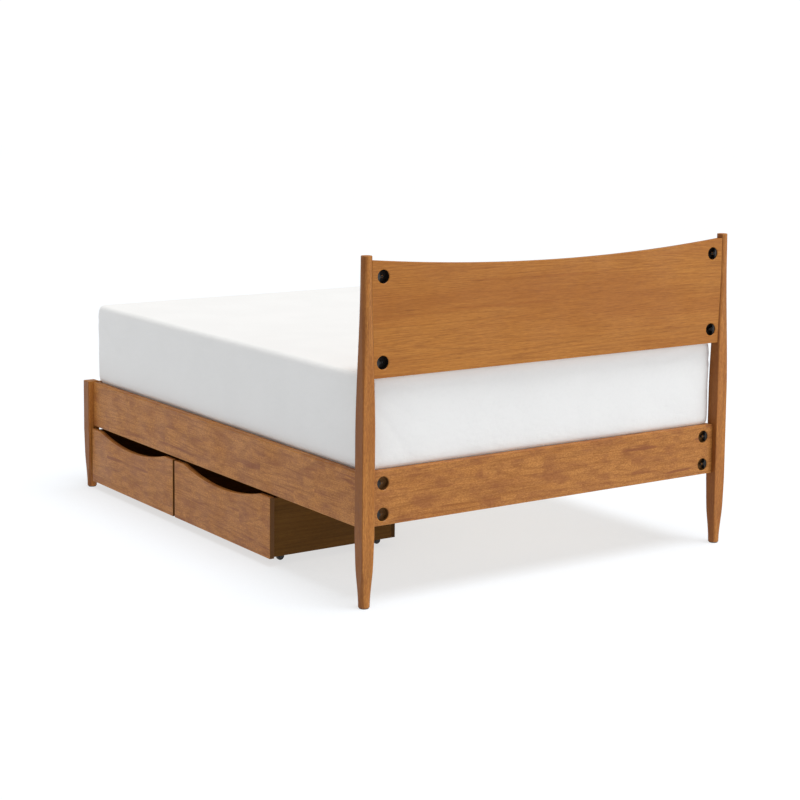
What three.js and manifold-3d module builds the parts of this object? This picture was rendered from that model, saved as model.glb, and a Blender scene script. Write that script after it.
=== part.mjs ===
// Queen platform bed with a concave headboard and two storage drawers on casters.
// Millimetres. Origin on the floor under the middle of the frame, +Z up.
// +Y is the head end and +X is the side that the drawers roll out of.

import * as THREE from 'three';
import { mergeVertices } from 'three/addons/utils/BufferGeometryUtils.js';
import Module from 'manifold-3d';

const wasm = await Module();
wasm.setup();

// ---------------------------------------------------------------- driving dimensions

const gap = 0.3; // clearance left between pieces that touch

const postPitchX = 1600; // between post centres, across the bed
const postPitchY = 2100; // between post centres, along the bed
const postHalf = 25; // half the thickness of a post where it is square
const postCorner = 4; // corner radius where it is square
const headPostHeight = 1183;
const footPostHeight = 457;
const footTaperTop = 250; // the square part of every post starts here
const headTaperBottom = 600; // and ends here on the head posts
const footHalf = 19.4; // half the thickness at the floor
const tipHalf = 19; // and at the top of a head post
const glideHeight = 3;
const glideRadius = 17;

const railThickness = 30;
const railHeight = 186;
const sideRailBottom = 267;
const headRailBottom = 273.5;
const sideRailSetOut = 2.5; // rail's outer face, out from the post centre
const headRailSetOut = 4.4;
const railRound = 5; // rounding of a rail's top edges

const panelBottom = 774.2;
const panelReach = 786.5; // its ends are cut to fit round the posts, which it almost passes
const panelEndTop = 1167.4;
const panelDip = 38.1; // how far the top edge sinks in the middle
const panelThickness = 24;
const panelSetOut = 15; // panel's back face, out from the post centre

const pocketRadius = 23;
const pocketDepth = 18;
const panelPocketX = 741;
const panelPocketHeights = [826, 1112];
const railPocketX = 728.5;
const railPocketHeights = [310.5, 416.7];
const boltRadius = 4;
const boltLength = 50;
const boltInset = 11; // from the pocket's mouth to the bolt's axis
const boltHoleRadius = 4.7;
const boltTail = 3; // how far the bolt ends short of the pocket's middle
const nutHalf = 7.5;
const nutLength = 6.5;
const washerFlat = 13; // flat side of the half-moon washer, from the pocket's middle
const washerHalfWidth = 6.5;

const slatCount = 14;
const slatWidth = 70;
const slatThickness = 17.7;
const slatLength = 1540;
const slatSpan = 1940; // between the centres of the first and last slats
const slatTop = 427;
const strapX = 700;
const strapWidth = 25;
const strapThickness = 1.5;

const ledgerWidth = 30;
const ledgerHeight = 32;
const beamWidth = 60;
const beamHeight = 70;
const plateThickness = 3; // all the steel brackets
const bracketLeg = 55;
const bracketHeight = 85;
const bracketBottom = 285;

const drawerWidth = 731;
const drawerDepth = 550;
const drawerFrontX = 812; // outer face of the drawer fronts
const drawerSplit = 14; // between the two fronts
const footDrawerEnd = -1021; // foot end of the drawer at the foot
const frontThickness = 19;
const frontBottom = 30;
const frontTop = 256;
const scoopHalf = 287;
const scoopDepth = 38;
const drawerSideThickness = 16;
const drawerSideInset = 6; // from the end of the front
const drawerBackThickness = 18;
const boxBottom = 34;
const boxTop = 250;
const floorThickness = 12;
const floorBottom = 46;
const grooveDepth = 6;

const casterFrontX = 727;
const casterRearX = 303;
const casterInset = 70; // from the end of the front
const wheelRadius = 15;
const wheelWidth = 13;
const wheelBore = 2.9;
const axleRadius = 2.5;
const cheekThickness = 3;
const cheekGap = 0.7; // from the wheel to each cheek

// Worked out from those
const postX = postPitchX / 2;
const postY = postPitchY / 2;
const headRailBack = postY + headRailSetOut;
const headRailFront = headRailBack - railThickness;
const footRailBack = -postY - sideRailSetOut;
const footRailFront = footRailBack + railThickness;
const sideRailOuter = postX + sideRailSetOut;
const sideRailInner = sideRailOuter - railThickness;
const panelBack = postY + panelSetOut;
const slatBottom = slatTop - slatThickness;
const ledgerTop = slatBottom - gap;
const axleHeight = wheelRadius + gap;

// ---------------------------------------------------------------- finishes

const finish = (color, roughness, metalness = 0) =>
  new THREE.MeshStandardMaterial({ color, roughness, metalness });
const stainedWood = finish(0xaa7341, 0.45);
const panelVeneer = finish(0xb47a42, 0.42);
const shadedWood = finish(0x8a5c33, 0.55);
const plainPine = finish(0xd9bd8e, 0.7);
const blackSteel = finish(0x17181a, 0.4, 0.8);
const blackPlastic = finish(0x101011, 0.5);
const darkGlide = finish(0x2a2522, 0.7);
const whiteCotton = finish(0xf2f2f0, 0.9);

// ---------------------------------------------------------------- solids

function toSolid(geometry) {
  const plain = geometry.clone();
  plain.deleteAttribute('normal');
  plain.deleteAttribute('uv');
  const merged = mergeVertices(plain, 1e-4);
  return new wasm.Manifold(new wasm.Mesh({
    numProp: 3,
    vertProperties: new Float32Array(merged.attributes.position.array),
    triVerts: new Uint32Array(merged.index.array),
  }));
}

function toGeometry(solid) {
  const mesh = solid.getMesh();
  const geometry = new THREE.BufferGeometry();
  geometry.setAttribute('position', new THREE.BufferAttribute(mesh.vertProperties, 3));
  geometry.setIndex(new THREE.BufferAttribute(mesh.triVerts, 1));
  return geometry;
}

const cut = (geometry, cutters) =>
  toGeometry(cutters.reduce((left, cutter) => left.subtract(toSolid(cutter)), toSolid(geometry)));

const join = (geometries) =>
  toGeometry(geometries.map(toSolid).reduce((whole, piece) => whole.add(piece)));

// A block between two limits on each axis.
function block([x0, x1], [y0, y1], [z0, z1]) {
  const geometry = new THREE.BoxGeometry(Math.abs(x1 - x0), Math.abs(y1 - y0), Math.abs(z1 - z0));
  return geometry.translate((x0 + x1) / 2, (y0 + y1) / 2, (z0 + z1) / 2);
}

const outline = (points) => new THREE.Shape(points.map(([u, v]) => new THREE.Vector2(u, v)));

// An outline of [y, z] points drawn out along X.
function prismAlongX(points, [x0, x1]) {
  const geometry = new THREE.ExtrudeGeometry(outline(points), { depth: x1 - x0, bevelEnabled: false });
  const turn = new THREE.Matrix4().makeBasis(
    new THREE.Vector3(0, 1, 0), new THREE.Vector3(0, 0, 1), new THREE.Vector3(1, 0, 0));
  return geometry.applyMatrix4(turn.setPosition(x0, 0, 0));
}

// An outline of [x, z] points drawn out along Y.
function prismAlongY(points, [y0, y1]) {
  const geometry = new THREE.ExtrudeGeometry(outline(points), { depth: y1 - y0, bevelEnabled: false });
  const turn = new THREE.Matrix4().makeBasis(
    new THREE.Vector3(1, 0, 0), new THREE.Vector3(0, 0, 1), new THREE.Vector3(0, -1, 0));
  return geometry.applyMatrix4(turn.setPosition(0, y1, 0));
}

// A round bar along X, or along Y, centred at the given point.
const barAlongX = (radius, length, [x, y, z], sides) =>
  new THREE.CylinderGeometry(radius, radius, length, sides).rotateZ(Math.PI / 2).translate(x, y, z);
const barAlongY = (radius, length, [x, y, z], sides) =>
  new THREE.CylinderGeometry(radius, radius, length, sides).translate(x, y, z);

// The points of a rectangle with round corners, anticlockwise.
function roundedRectangle(halfX, halfY, corner, steps) {
  const radius = Math.min(corner, 0.97 * Math.min(halfX, halfY));
  const points = [];
  for (let quarter = 0; quarter < 4; quarter++) {
    const centreX = (halfX - radius) * (quarter === 0 || quarter === 3 ? 1 : -1);
    const centreY = (halfY - radius) * (quarter < 2 ? 1 : -1);
    for (let step = 0; step <= steps; step++) {
      const angle = (quarter + step / steps) * Math.PI / 2;
      points.push([centreX + radius * Math.cos(angle), centreY + radius * Math.sin(angle)]);
    }
  }
  return points;
}

// A closed skin over a stack of level sections, each with the same number of points.
function loft(sections) {
  const around = sections[0].points.length;
  const positions = sections.flatMap(({ z, points }) => points.flatMap(([x, y]) => [x, y, z]));
  const index = [];
  for (let level = 0; level + 1 < sections.length; level++) {
    for (let k = 0; k < around; k++) {
      const a = level * around + k;
      const b = level * around + (k + 1) % around;
      index.push(a, b, b + around, a, b + around, a + around);
    }
  }
  const top = (sections.length - 1) * around;
  for (let k = 1; k + 1 < around; k++) {
    index.push(0, k + 1, k);
    index.push(top, top + k, top + k + 1);
  }
  const geometry = new THREE.BufferGeometry();
  geometry.setAttribute('position', new THREE.Float32BufferAttribute(positions, 3));
  geometry.setIndex(index);
  return geometry;
}

// The arc that sinks by sag in the middle of a straight edge, as points from -half to half.
function sunkArc(half, sag, edgeHeight, steps) {
  const radius = (half * half + sag * sag) / (2 * sag);
  const reach = Math.asin(half / radius);
  return Array.from({ length: steps + 1 }, (_, step) => {
    const angle = reach * (2 * step / steps - 1);
    return [radius * Math.sin(angle), edgeHeight - sag + radius * (1 - Math.cos(angle))];
  });
}

// ---------------------------------------------------------------- the scene

const bed = new THREE.Group();

function place(name, geometry, material, parent = bed, [x, y, z] = [0, 0, 0]) {
  const mesh = new THREE.Mesh(geometry, material);
  mesh.name = name;
  mesh.position.set(x, y, z);
  parent.add(mesh);
}

const sides = [['left', -1], ['right', 1]];

// ---------------------------------------------------------------- posts

// A post is a square bar whose corners round off as it thins, until its ends are round.
// It can be grown a little, to cut room for the post in its neighbour.
function postSection(z, grow = 0) {
  const down = Math.max(0, (footTaperTop - z) / footTaperTop);
  const up = Math.max(0, (z - headTaperBottom) / (headPostHeight - headTaperBottom));
  const half = postHalf - (postHalf - footHalf) * down - (postHalf - tipHalf) * up;
  const roundness = THREE.MathUtils.smoothstep(down, 0.4, 0.95) + THREE.MathUtils.smoothstep(up, 0.05, 0.85);
  const corner = postCorner + (half - postCorner) * roundness;
  return { z, points: roundedRectangle(half + grow, half + grow, corner + grow, 3) };
}

// The hole in a post for each cross bolt, bored in from the post's inner side.
function boltHole(side, y, z) {
  const length = 34;
  return barAlongX(boltHoleRadius, length, [-side * (length / 2 - 8), y, z], 8);
}

const footLevels = [glideHeight + gap, 40, 75, 110, 150, footTaperTop];
const headLevels = [...footLevels, headTaperBottom, 700, 780, 860, 940, 1020, 1100, headPostHeight];
const headBar = (grow) => loft(headLevels.map((z) => postSection(z, grow)));

function headPost(side) {
  const panelHoles = panelPocketHeights.map((z) => boltHole(side, panelSetOut - boltInset, z));
  const railHoles = railPocketHeights.map((z) => boltHole(side, headRailSetOut - boltInset, z));
  return cut(headBar(0), [...panelHoles, ...railHoles]);
}

const footPost = () => loft([...footLevels, footPostHeight].map((z) => postSection(z)));

for (const [hand, side] of sides) {
  place(`head_post_${hand}`, headPost(side), stainedWood, bed, [side * postX, postY, 0]);
  place(`foot_post_${hand}`, footPost(), stainedWood, bed, [side * postX, -postY, 0]);
  for (const [end, y] of [['head', postY], ['foot', -postY]]) {
    const glide = new THREE.CylinderGeometry(glideRadius, glideRadius, glideHeight, 14).rotateX(Math.PI / 2);
    place(`${end}_glide_${hand}`, glide, darkGlide, bed, [side * postX, y, glideHeight / 2]);
  }
}

// ---------------------------------------------------------------- headboard and rails

// The pocket that gives a spanner room, and the bolt's hole from it out through the end.
function pocketCutters(x, back, z, side) {
  const overrun = 2;
  const pocket = barAlongY(pocketRadius, pocketDepth + overrun,
    [side * x, back - (pocketDepth - overrun) / 2, z], 20);
  const hole = barAlongX(boltHoleRadius, 70, [side * (x + 35), back - boltInset, z], 8);
  return [pocket, hole];
}

const allPockets = (x, back, heights) =>
  sides.flatMap(([, side]) => heights.flatMap((z) => pocketCutters(x, back, z, side)));

// The panel's ends are hollowed to follow the posts, whose section changes with height.
function headboardPanel() {
  const board = prismAlongY(
    [[-panelReach, panelBottom], [panelReach, panelBottom],
      ...sunkArc(panelReach, panelDip, panelEndTop, 24).reverse()],
    [panelBack - panelThickness, panelBack]);
  const hollows = sides.map(([, side]) => headBar(gap).translate(side * postX, postY, 0));
  return cut(board, [...hollows, ...allPockets(panelPocketX, panelBack, panelPocketHeights)]);
}

// A rail's section: square below, with both top edges rounded. Across is [low, high].
function railSection([low, high], bottom) {
  const top = bottom + railHeight;
  const arc = (centre, start) => Array.from({ length: 4 }, (_, step) => {
    const angle = start + step * Math.PI / 6;
    return [centre + railRound * Math.cos(angle), top - railRound + railRound * Math.sin(angle)];
  });
  return [[low, bottom], [high, bottom], ...arc(high - railRound, 0), ...arc(low + railRound, Math.PI / 2)];
}

const railEnd = postX - postHalf - gap;
const headRail = prismAlongX(railSection([headRailFront, headRailBack], headRailBottom), [-railEnd, railEnd]);
place('headboard_panel', headboardPanel(), panelVeneer);
place('head_rail', cut(headRail, allPockets(railPocketX, headRailBack, railPocketHeights)), stainedWood);
place('foot_rail', prismAlongX(railSection([footRailBack, footRailFront], sideRailBottom),
  [-railEnd, railEnd]), stainedWood);

// A side rail runs from post to post, and is notched round the end of the foot rail.
function sideRail(side) {
  const across = [side * sideRailInner, side * sideRailOuter].sort((a, b) => a - b);
  const footEnd = postHalf + gap - postY;
  const bar = prismAlongY(railSection(across, sideRailBottom), [footEnd, headRailFront - gap]);
  const notch = block([side * (sideRailInner - 1), side * (postX - postHalf)],
    [footEnd - 1, footRailFront + gap], [sideRailBottom - 1, sideRailBottom + railHeight + 1]);
  return cut(bar, [notch]);
}

for (const [hand, side] of sides) {
  place(`side_rail_${hand}`, sideRail(side), stainedWood);
}

// ---------------------------------------------------------------- cross bolts

// A bolt along X with its nut and a half-moon washer that fits the round wall of the pocket.
function crossBolt(side) {
  const washerRadius = pocketRadius - 2 * gap;
  const reach = Math.acos(washerFlat / washerRadius);
  const rim = Array.from({ length: 7 }, (_, step) => {
    const angle = reach * (step / 3 - 1);
    return [washerRadius * Math.cos(angle), washerRadius * Math.sin(angle)];
  });
  const washer = prismAlongY(rim, [-washerHalfWidth, washerHalfWidth]);
  const nut = new THREE.CylinderGeometry(nutHalf, nutHalf, nutLength, 6).rotateZ(Math.PI / 2)
    .translate(washerFlat - nutLength / 2 + 0.5, 0, 0);
  const shaft = barAlongX(boltRadius, boltLength, [boltLength / 2 - boltTail, 0, 0], 8);
  return join([washer, nut, shaft]).rotateZ(side > 0 ? 0 : Math.PI);
}

for (const [hand, side] of sides) {
  for (const [level, word] of [[0, 'low'], [1, 'high']]) {
    place(`panel_bolt_${hand}_${word}`, crossBolt(side), blackSteel, bed,
      [side * panelPocketX, panelBack - boltInset, panelPocketHeights[level]]);
    place(`rail_bolt_${hand}_${word}`, crossBolt(side), blackSteel, bed,
      [side * railPocketX, headRailBack - boltInset, railPocketHeights[level]]);
  }
}

// ---------------------------------------------------------------- what carries the slats

for (const [hand, side] of sides) {
  const inner = side * (sideRailInner - gap);
  place(`slat_ledger_${hand}`, block([inner - side * ledgerWidth, inner],
    [footRailFront + gap, headRailFront - gap], [ledgerTop - ledgerHeight, ledgerTop]), plainPine);

  // Steel angles join the side rails to the head rail and the foot rail.
  for (const [end, face, inward] of [['head', headRailFront, -1], ['foot', footRailFront, 1]]) {
    const corner = face + inward * gap;
    const legAlongRail = block([inner - side * plateThickness, inner],
      [corner, corner + inward * bracketLeg], [bracketBottom, bracketBottom + bracketHeight]);
    const legAcross = block([inner - side * bracketLeg, inner],
      [corner, corner + inward * plateThickness], [bracketBottom, bracketBottom + bracketHeight]);
    place(`${end}_bracket_${hand}`, join([legAlongRail, legAcross]), blackSteel);
  }
}

const beamTop = ledgerTop;
const beamBottom = beamTop - beamHeight;
place('centre_beam', block([-beamWidth / 2, beamWidth / 2],
  [footRailFront + gap, headRailFront - gap], [beamBottom, beamTop]), plainPine);

// A steel cradle screwed to each end rail holds the end of the beam.
for (const [end, face, inward] of [['head', headRailFront, -1], ['foot', footRailFront, 1]]) {
  const inside = beamWidth / 2 + gap;
  const outside = inside + plateThickness;
  const floor = beamBottom - gap;
  const cradleSection = [[-outside, floor - plateThickness], [outside, floor - plateThickness],
    [outside, floor + 45], [inside, floor + 45], [inside, floor], [-inside, floor],
    [-inside, floor + 45], [-outside, floor + 45]];
  const span = [face + inward * gap, face + inward * 40].sort((a, b) => a - b);
  place(`beam_cradle_${end}`, prismAlongY(cradleSection, span), blackSteel);
}

const legSection = (z, half) => ({ z, points: roundedRectangle(half, half, 3, 2) });
place('centre_leg', loft([legSection(gap, 15), legSection(beamBottom - gap, 24)]), plainPine);

// Half of the slats, tied together by two webbing straps under them.
function slatRoll(first, count) {
  const pitch = slatSpan / (slatCount - 1);
  const slatY = (number) => -slatSpan / 2 + number * pitch;
  const slats = Array.from({ length: count }, (_, k) => block([-slatLength / 2, slatLength / 2],
    [slatY(first + k) - slatWidth / 2, slatY(first + k) + slatWidth / 2], [slatBottom, slatTop]));
  const straps = sides.map(([, side]) => block(
    [side * strapX - strapWidth / 2, side * strapX + strapWidth / 2],
    [slatY(first) - slatWidth / 4, slatY(first + count - 1) + slatWidth / 4],
    [slatBottom - strapThickness, slatBottom + gap]));
  return join([...slats, ...straps]);
}

place('slat_roll_foot', slatRoll(0, slatCount / 2), plainPine);
place('slat_roll_head', slatRoll(slatCount / 2, slatCount / 2), plainPine);

// ---------------------------------------------------------------- mattress

// Each level of the mattress: height, half width, half length and corner radius.
const mattressLevels = [
  [slatTop + gap, 760, 1011, 20],
  [440, 768, 1019, 22],
  [453.3, 772, 1023, 24],
  [460, 776, 1023.8, 26],
  [468, 780, 1031.5, 30],
  [485, 782, 1035, 34],
  [600, 783, 1036, 34],
  [740, 782, 1035, 28],
  [765, 779.5, 1032, 26],
  [776, 774, 1026.5, 22],
  [781.6, 763, 1015, 18],
];

const mattress = loft(mattressLevels.map(([z, halfX, halfY, corner]) =>
  ({ z, points: roundedRectangle(halfX, halfY, corner, 3) })));
place('mattress', mattress, whiteCotton);

// ---------------------------------------------------------------- drawers

// A drawer's own frame has its Y = 0 in the middle of its width.
const drawerHalf = drawerWidth / 2;
const frontBack = drawerFrontX - frontThickness;
const boxBack = drawerFrontX - drawerDepth;
const sideStart = boxBack + drawerBackThickness + gap;
const boxHalf = drawerHalf - drawerSideInset;
const innerHalf = boxHalf - drawerSideThickness;

const drawerFront = () => prismAlongX(
  [[-drawerHalf, frontBottom], [drawerHalf, frontBottom], [drawerHalf, frontTop],
    ...sunkArc(scoopHalf, scoopDepth, frontTop, 20).reverse(), [-drawerHalf, frontTop]],
  [frontBack, drawerFrontX]);

// The drawer side is grooved near its lower edge for the drawer's floor.
function drawerSide(side) {
  const grooveLow = floorBottom - gap;
  const grooveHigh = floorBottom + floorThickness + gap;
  const grooveWall = innerHalf + grooveDepth;
  const section = [[boxHalf, boxBottom], [boxHalf, boxTop], [innerHalf, boxTop], [innerHalf, grooveHigh],
    [grooveWall, grooveHigh], [grooveWall, grooveLow], [innerHalf, grooveLow], [innerHalf, boxBottom]];
  const span = [sideStart, frontBack - gap];
  return prismAlongX(section.map(([y, z]) => [side * y, z]), span);
}

const wheelProfile = () => {
  const bevel = 1.5;
  const halfWidth = wheelWidth / 2;
  return [[wheelBore, -halfWidth], [wheelRadius - bevel, -halfWidth], [wheelRadius, bevel - halfWidth],
    [wheelRadius, halfWidth - bevel], [wheelRadius - bevel, halfWidth], [wheelBore, halfWidth],
    [wheelBore, -halfWidth]].map(([radius, y]) => new THREE.Vector2(radius, y));
};

// A caster's fork: a plate under the drawer, two cheeks and the axle between them.
function casterFork() {
  const plateTop = floorBottom - gap;
  const plate = block([-20, 20], [-17, 17], [plateTop - plateThickness, plateTop]);
  const inside = wheelWidth / 2 + cheekGap;
  const cheekOutline = [[-16, plateTop - 1], [-7, axleHeight - 6], [7, axleHeight - 6], [16, plateTop - 1]];
  const cheeks = sides.map(([, side]) => prismAlongY(cheekOutline,
    [side * inside, side * (inside + cheekThickness)].sort((a, b) => a - b)));
  const axle = barAlongY(axleRadius, 2 * inside + cheekThickness, [0, 0, axleHeight], 8);
  return join([plate, ...cheeks, axle]);
}

function addDrawer(name, middle) {
  const drawer = new THREE.Group();
  drawer.position.y = middle;
  bed.add(drawer);
  place(`${name}_front`, drawerFront(), stainedWood, drawer);
  place(`${name}_side_head`, drawerSide(1), shadedWood, drawer);
  place(`${name}_side_foot`, drawerSide(-1), shadedWood, drawer);
  place(`${name}_back`, block([boxBack, boxBack + drawerBackThickness], [-boxHalf, boxHalf],
    [boxBottom, boxTop]), shadedWood, drawer);
  const floorHalf = innerHalf + grooveDepth - gap;
  place(`${name}_floor`, block([sideStart, frontBack - gap], [-floorHalf, floorHalf],
    [floorBottom, floorBottom + floorThickness]), shadedWood, drawer);
  const corners = [['front_head', casterFrontX, 1], ['front_foot', casterFrontX, -1],
    ['rear_head', casterRearX, 1], ['rear_foot', casterRearX, -1]];
  for (const [corner, x, side] of corners) {
    const caster = new THREE.Group();
    caster.position.set(x, side * (drawerHalf - casterInset), 0);
    drawer.add(caster);
    place(`${name}_fork_${corner}`, casterFork(), blackPlastic, caster);
    place(`${name}_wheel_${corner}`, new THREE.LatheGeometry(wheelProfile(), 16), blackPlastic, caster,
      [0, 0, axleHeight]);
  }
}

const footMiddle = footDrawerEnd + drawerHalf;
addDrawer('foot_drawer', footMiddle);
addDrawer('head_drawer', footMiddle + drawerWidth + drawerSplit);

export default bed;
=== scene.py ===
# %% [markdown]
# # A queen platform bed with two storage drawers
#
# The bed is a wooden frame: four posts that are square in the middle and round at their ends, a headboard
# panel with a hollow top edge, four deep rails, and two drawers on casters that roll out from under one side.
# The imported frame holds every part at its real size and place. This script gives each part its final surface:
# finer meshes where the frame's are plain, a fitted sheet on the mattress, and a finish for everything.

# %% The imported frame
import math

import bmesh
import bpy
import numpy as np
from mathutils import Matrix, Vector


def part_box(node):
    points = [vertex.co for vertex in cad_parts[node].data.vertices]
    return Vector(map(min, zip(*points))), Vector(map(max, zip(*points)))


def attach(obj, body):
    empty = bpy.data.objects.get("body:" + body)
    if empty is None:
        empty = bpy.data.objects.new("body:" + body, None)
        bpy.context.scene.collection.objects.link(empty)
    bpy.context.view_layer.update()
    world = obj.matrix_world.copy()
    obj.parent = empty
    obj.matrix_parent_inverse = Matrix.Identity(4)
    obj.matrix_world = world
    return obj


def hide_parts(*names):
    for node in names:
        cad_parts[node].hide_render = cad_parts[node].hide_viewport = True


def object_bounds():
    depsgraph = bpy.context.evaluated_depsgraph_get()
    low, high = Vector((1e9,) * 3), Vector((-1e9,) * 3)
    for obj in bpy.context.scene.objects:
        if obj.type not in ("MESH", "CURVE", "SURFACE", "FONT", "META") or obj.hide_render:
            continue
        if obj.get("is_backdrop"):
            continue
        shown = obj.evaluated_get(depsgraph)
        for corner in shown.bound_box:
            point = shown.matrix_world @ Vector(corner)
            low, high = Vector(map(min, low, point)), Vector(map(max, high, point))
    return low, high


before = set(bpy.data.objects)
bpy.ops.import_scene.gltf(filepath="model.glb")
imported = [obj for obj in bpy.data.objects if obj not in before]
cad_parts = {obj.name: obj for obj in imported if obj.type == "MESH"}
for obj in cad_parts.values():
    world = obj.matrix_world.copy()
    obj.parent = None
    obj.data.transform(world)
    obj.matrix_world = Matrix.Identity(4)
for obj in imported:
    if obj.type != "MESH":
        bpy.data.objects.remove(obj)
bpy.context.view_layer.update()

scene = bpy.context.scene
MM = 0.001
HANDS = {"left": -1, "right": 1}

# %% [markdown]
# ## The camera
# A bed this long is seen from well behind it with a long lens, so that its far end doesn't shrink. The camera
# dips only slightly, and the lens is shifted down for the rest of the downward look, so that the posts stay
# nearly upright. It stands behind the headboard, on the drawers' side.

# %% Camera
CAMERA_PLACE = (4.126, 6.048, 1.819)
CAMERA_TURN = math.radians(145.78)  # 0 looks along +Y, and 90 along -X
CAMERA_DIP = math.radians(6.6)
CAMERA_ROLL = math.radians(0.51)
LENS = 83.24
LENS_SHIFT = (0.0188, -0.158)  # right and up, as shares of the picture's width


def add_camera():
    data = bpy.data.cameras.new("camera")
    data.lens = LENS
    data.shift_x, data.shift_y = LENS_SHIFT
    data.clip_end = 100
    camera = bpy.data.objects.new("camera", data)
    scene.collection.objects.link(camera)
    flat = math.cos(CAMERA_DIP)
    back = Vector((math.sin(CAMERA_TURN) * flat, -math.cos(CAMERA_TURN) * flat, math.sin(CAMERA_DIP)))
    right = Vector((math.cos(CAMERA_TURN), math.sin(CAMERA_TURN), 0))
    up = back.cross(right)
    turn = Matrix((right, up, back)).transposed() @ Matrix.Rotation(CAMERA_ROLL, 3, "Z")
    camera.matrix_world = Matrix.Translation(CAMERA_PLACE) @ turn.to_4x4()
    scene.camera = camera
    return camera


camera = add_camera()
print("camera at", CAMERA_PLACE)

# %% [markdown]
# ## Light and floor
# The bed stands in a white studio. One wide, soft light does most of the work, almost overhead and leaning a
# little towards the head end. Two weak softboxes and the sky all round do the rest, so the top is brightest,
# the head end next, and the drawers' side is in shade. The floor gives off some light of its own, which keeps
# the shadow under the bed as pale as on white paper.

# %% Light
SKY_LIGHT = 0.335
KEY_TOWARDS = Vector((-0.10, 0.15, 0.72))  # from the bed towards the key light
KEY_STRENGTH = 2.55


def add_world():
    world = bpy.data.worlds.new("studio")
    world.use_nodes = True
    nodes, links = world.node_tree.nodes, world.node_tree.links
    nodes.clear()
    seen = nodes.new("ShaderNodeBackground")
    seen.inputs["Color"].default_value = (1, 1, 1, 1)
    seen.inputs["Strength"].default_value = 1.05
    lighting = nodes.new("ShaderNodeBackground")
    lighting.inputs["Color"].default_value = (1.0, 0.992, 0.975, 1)
    lighting.inputs["Strength"].default_value = SKY_LIGHT
    path = nodes.new("ShaderNodeLightPath")
    pick = nodes.new("ShaderNodeMixShader")
    output = nodes.new("ShaderNodeOutputWorld")
    links.new(path.outputs["Is Camera Ray"], pick.inputs[0])
    links.new(lighting.outputs[0], pick.inputs[1])
    links.new(seen.outputs[0], pick.inputs[2])
    links.new(pick.outputs[0], output.inputs[0])
    scene.world = world


def add_key_light():
    data = bpy.data.lights.new("key", "SUN")
    data.energy = KEY_STRENGTH
    data.angle = math.radians(38)
    key = bpy.data.objects.new("key", data)
    key.rotation_euler = KEY_TOWARDS.to_track_quat("Z", "Y").to_euler()
    scene.collection.objects.link(key)


def add_softbox(name, place, aim, size, power):
    data = bpy.data.lights.new(name, "AREA")
    data.shape = "RECTANGLE"
    data.size, data.size_y = size
    data.energy = power
    box = bpy.data.objects.new(name, data)
    box.location = place
    box.rotation_euler = (Vector(place) - Vector(aim)).to_track_quat("Z", "Y").to_euler()
    scene.collection.objects.link(box)


add_world()
add_key_light()
add_softbox("head_end", (-3.6, 5.4, 1.7), (0.0, 1.0, 0.7), (2.6, 2.2), 64)
add_softbox("foot_side", (5.0, -4.2, 1.6), (0.8, -0.2, 0.4), (2.0, 2.0), 25)
scene.view_settings.view_transform = "Standard"

# %% Floor
FLOOR_HALF = 30.0
FLOOR_GLOW = 0.655


def add_floor():
    mesh = bpy.data.meshes.new("floor")
    reach = FLOOR_HALF
    mesh.from_pydata([(-reach, -reach, 0), (reach, -reach, 0), (reach, reach, 0), (-reach, reach, 0)],
                     [], [(0, 1, 2, 3)])
    floor = bpy.data.objects.new("floor", mesh)
    scene.collection.objects.link(floor)
    paper = bpy.data.materials.new("white_paper")
    paper.use_nodes = True
    shader = paper.node_tree.nodes["Principled BSDF"]
    shader.inputs["Base Color"].default_value = (0.31, 0.335, 0.365, 1)
    shader.inputs["Roughness"].default_value = 1.0
    shader.inputs["Specular IOR Level"].default_value = 0.0
    shader.inputs["Emission Color"].default_value = (1, 1, 1, 1)
    shader.inputs["Emission Strength"].default_value = FLOOR_GLOW
    mesh.materials.append(paper)
    floor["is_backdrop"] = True


add_floor()

# %% [markdown]
# ## Mesh tools
# Most pieces of a bed are boards, turned parts and lofts, so a handful of helpers make nearly all of them.
# A board is an outline drawn out along one axis; a turned part is a profile spun round an axis; a loft joins
# a stack of sections. Real edges are never sharp, so each piece gets a real bevel, not one painted on.

# %% Making and settling meshes
def new_piece(name, points, faces):
    """An object with its faces turned outwards."""
    mesh = bpy.data.meshes.new(name)
    mesh.from_pydata([tuple(p) for p in points], [], faces)
    work = bmesh.new()
    work.from_mesh(mesh)
    bmesh.ops.recalc_face_normals(work, faces=work.faces)
    work.to_mesh(mesh)
    work.free()
    piece = bpy.data.objects.new(name, mesh)
    scene.collection.objects.link(piece)
    return piece


def settle(piece):
    """Makes what the modifiers show into the piece's own mesh."""
    shown = piece.evaluated_get(bpy.context.evaluated_depsgraph_get())
    mesh = bpy.data.meshes.new_from_object(shown)
    old = piece.data
    piece.modifiers.clear()
    piece.data = mesh
    bpy.data.meshes.remove(old)
    return piece


def ease(piece, width, segments=3, angle=40):
    """Rounds every edge that is sharper than the angle."""
    bevel = piece.modifiers.new("eased edges", "BEVEL")
    bevel.width = width
    bevel.segments = segments
    bevel.limit_method = "ANGLE"
    bevel.angle_limit = math.radians(angle)
    return settle(piece)


def smooth(piece, angle=38):
    """Smooth shading that keeps flat faces flat."""
    piece.data.shade_smooth()
    piece.data.set_sharp_from_angle(angle=math.radians(angle))
    weigh = piece.modifiers.new("flat faces", "WEIGHTED_NORMAL")
    weigh.keep_sharp = True
    return piece


def merge(name, parts):
    """Joins loose parts into one piece."""
    work = bmesh.new()
    for part in parts:
        work.from_mesh(part.data)
    mesh = bpy.data.meshes.new(name)
    work.to_mesh(mesh)
    work.free()
    for part in parts:
        old = part.data
        bpy.data.objects.remove(part)
        bpy.data.meshes.remove(old)
    piece = bpy.data.objects.new(name, mesh)
    scene.collection.objects.link(piece)
    return piece


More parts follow.
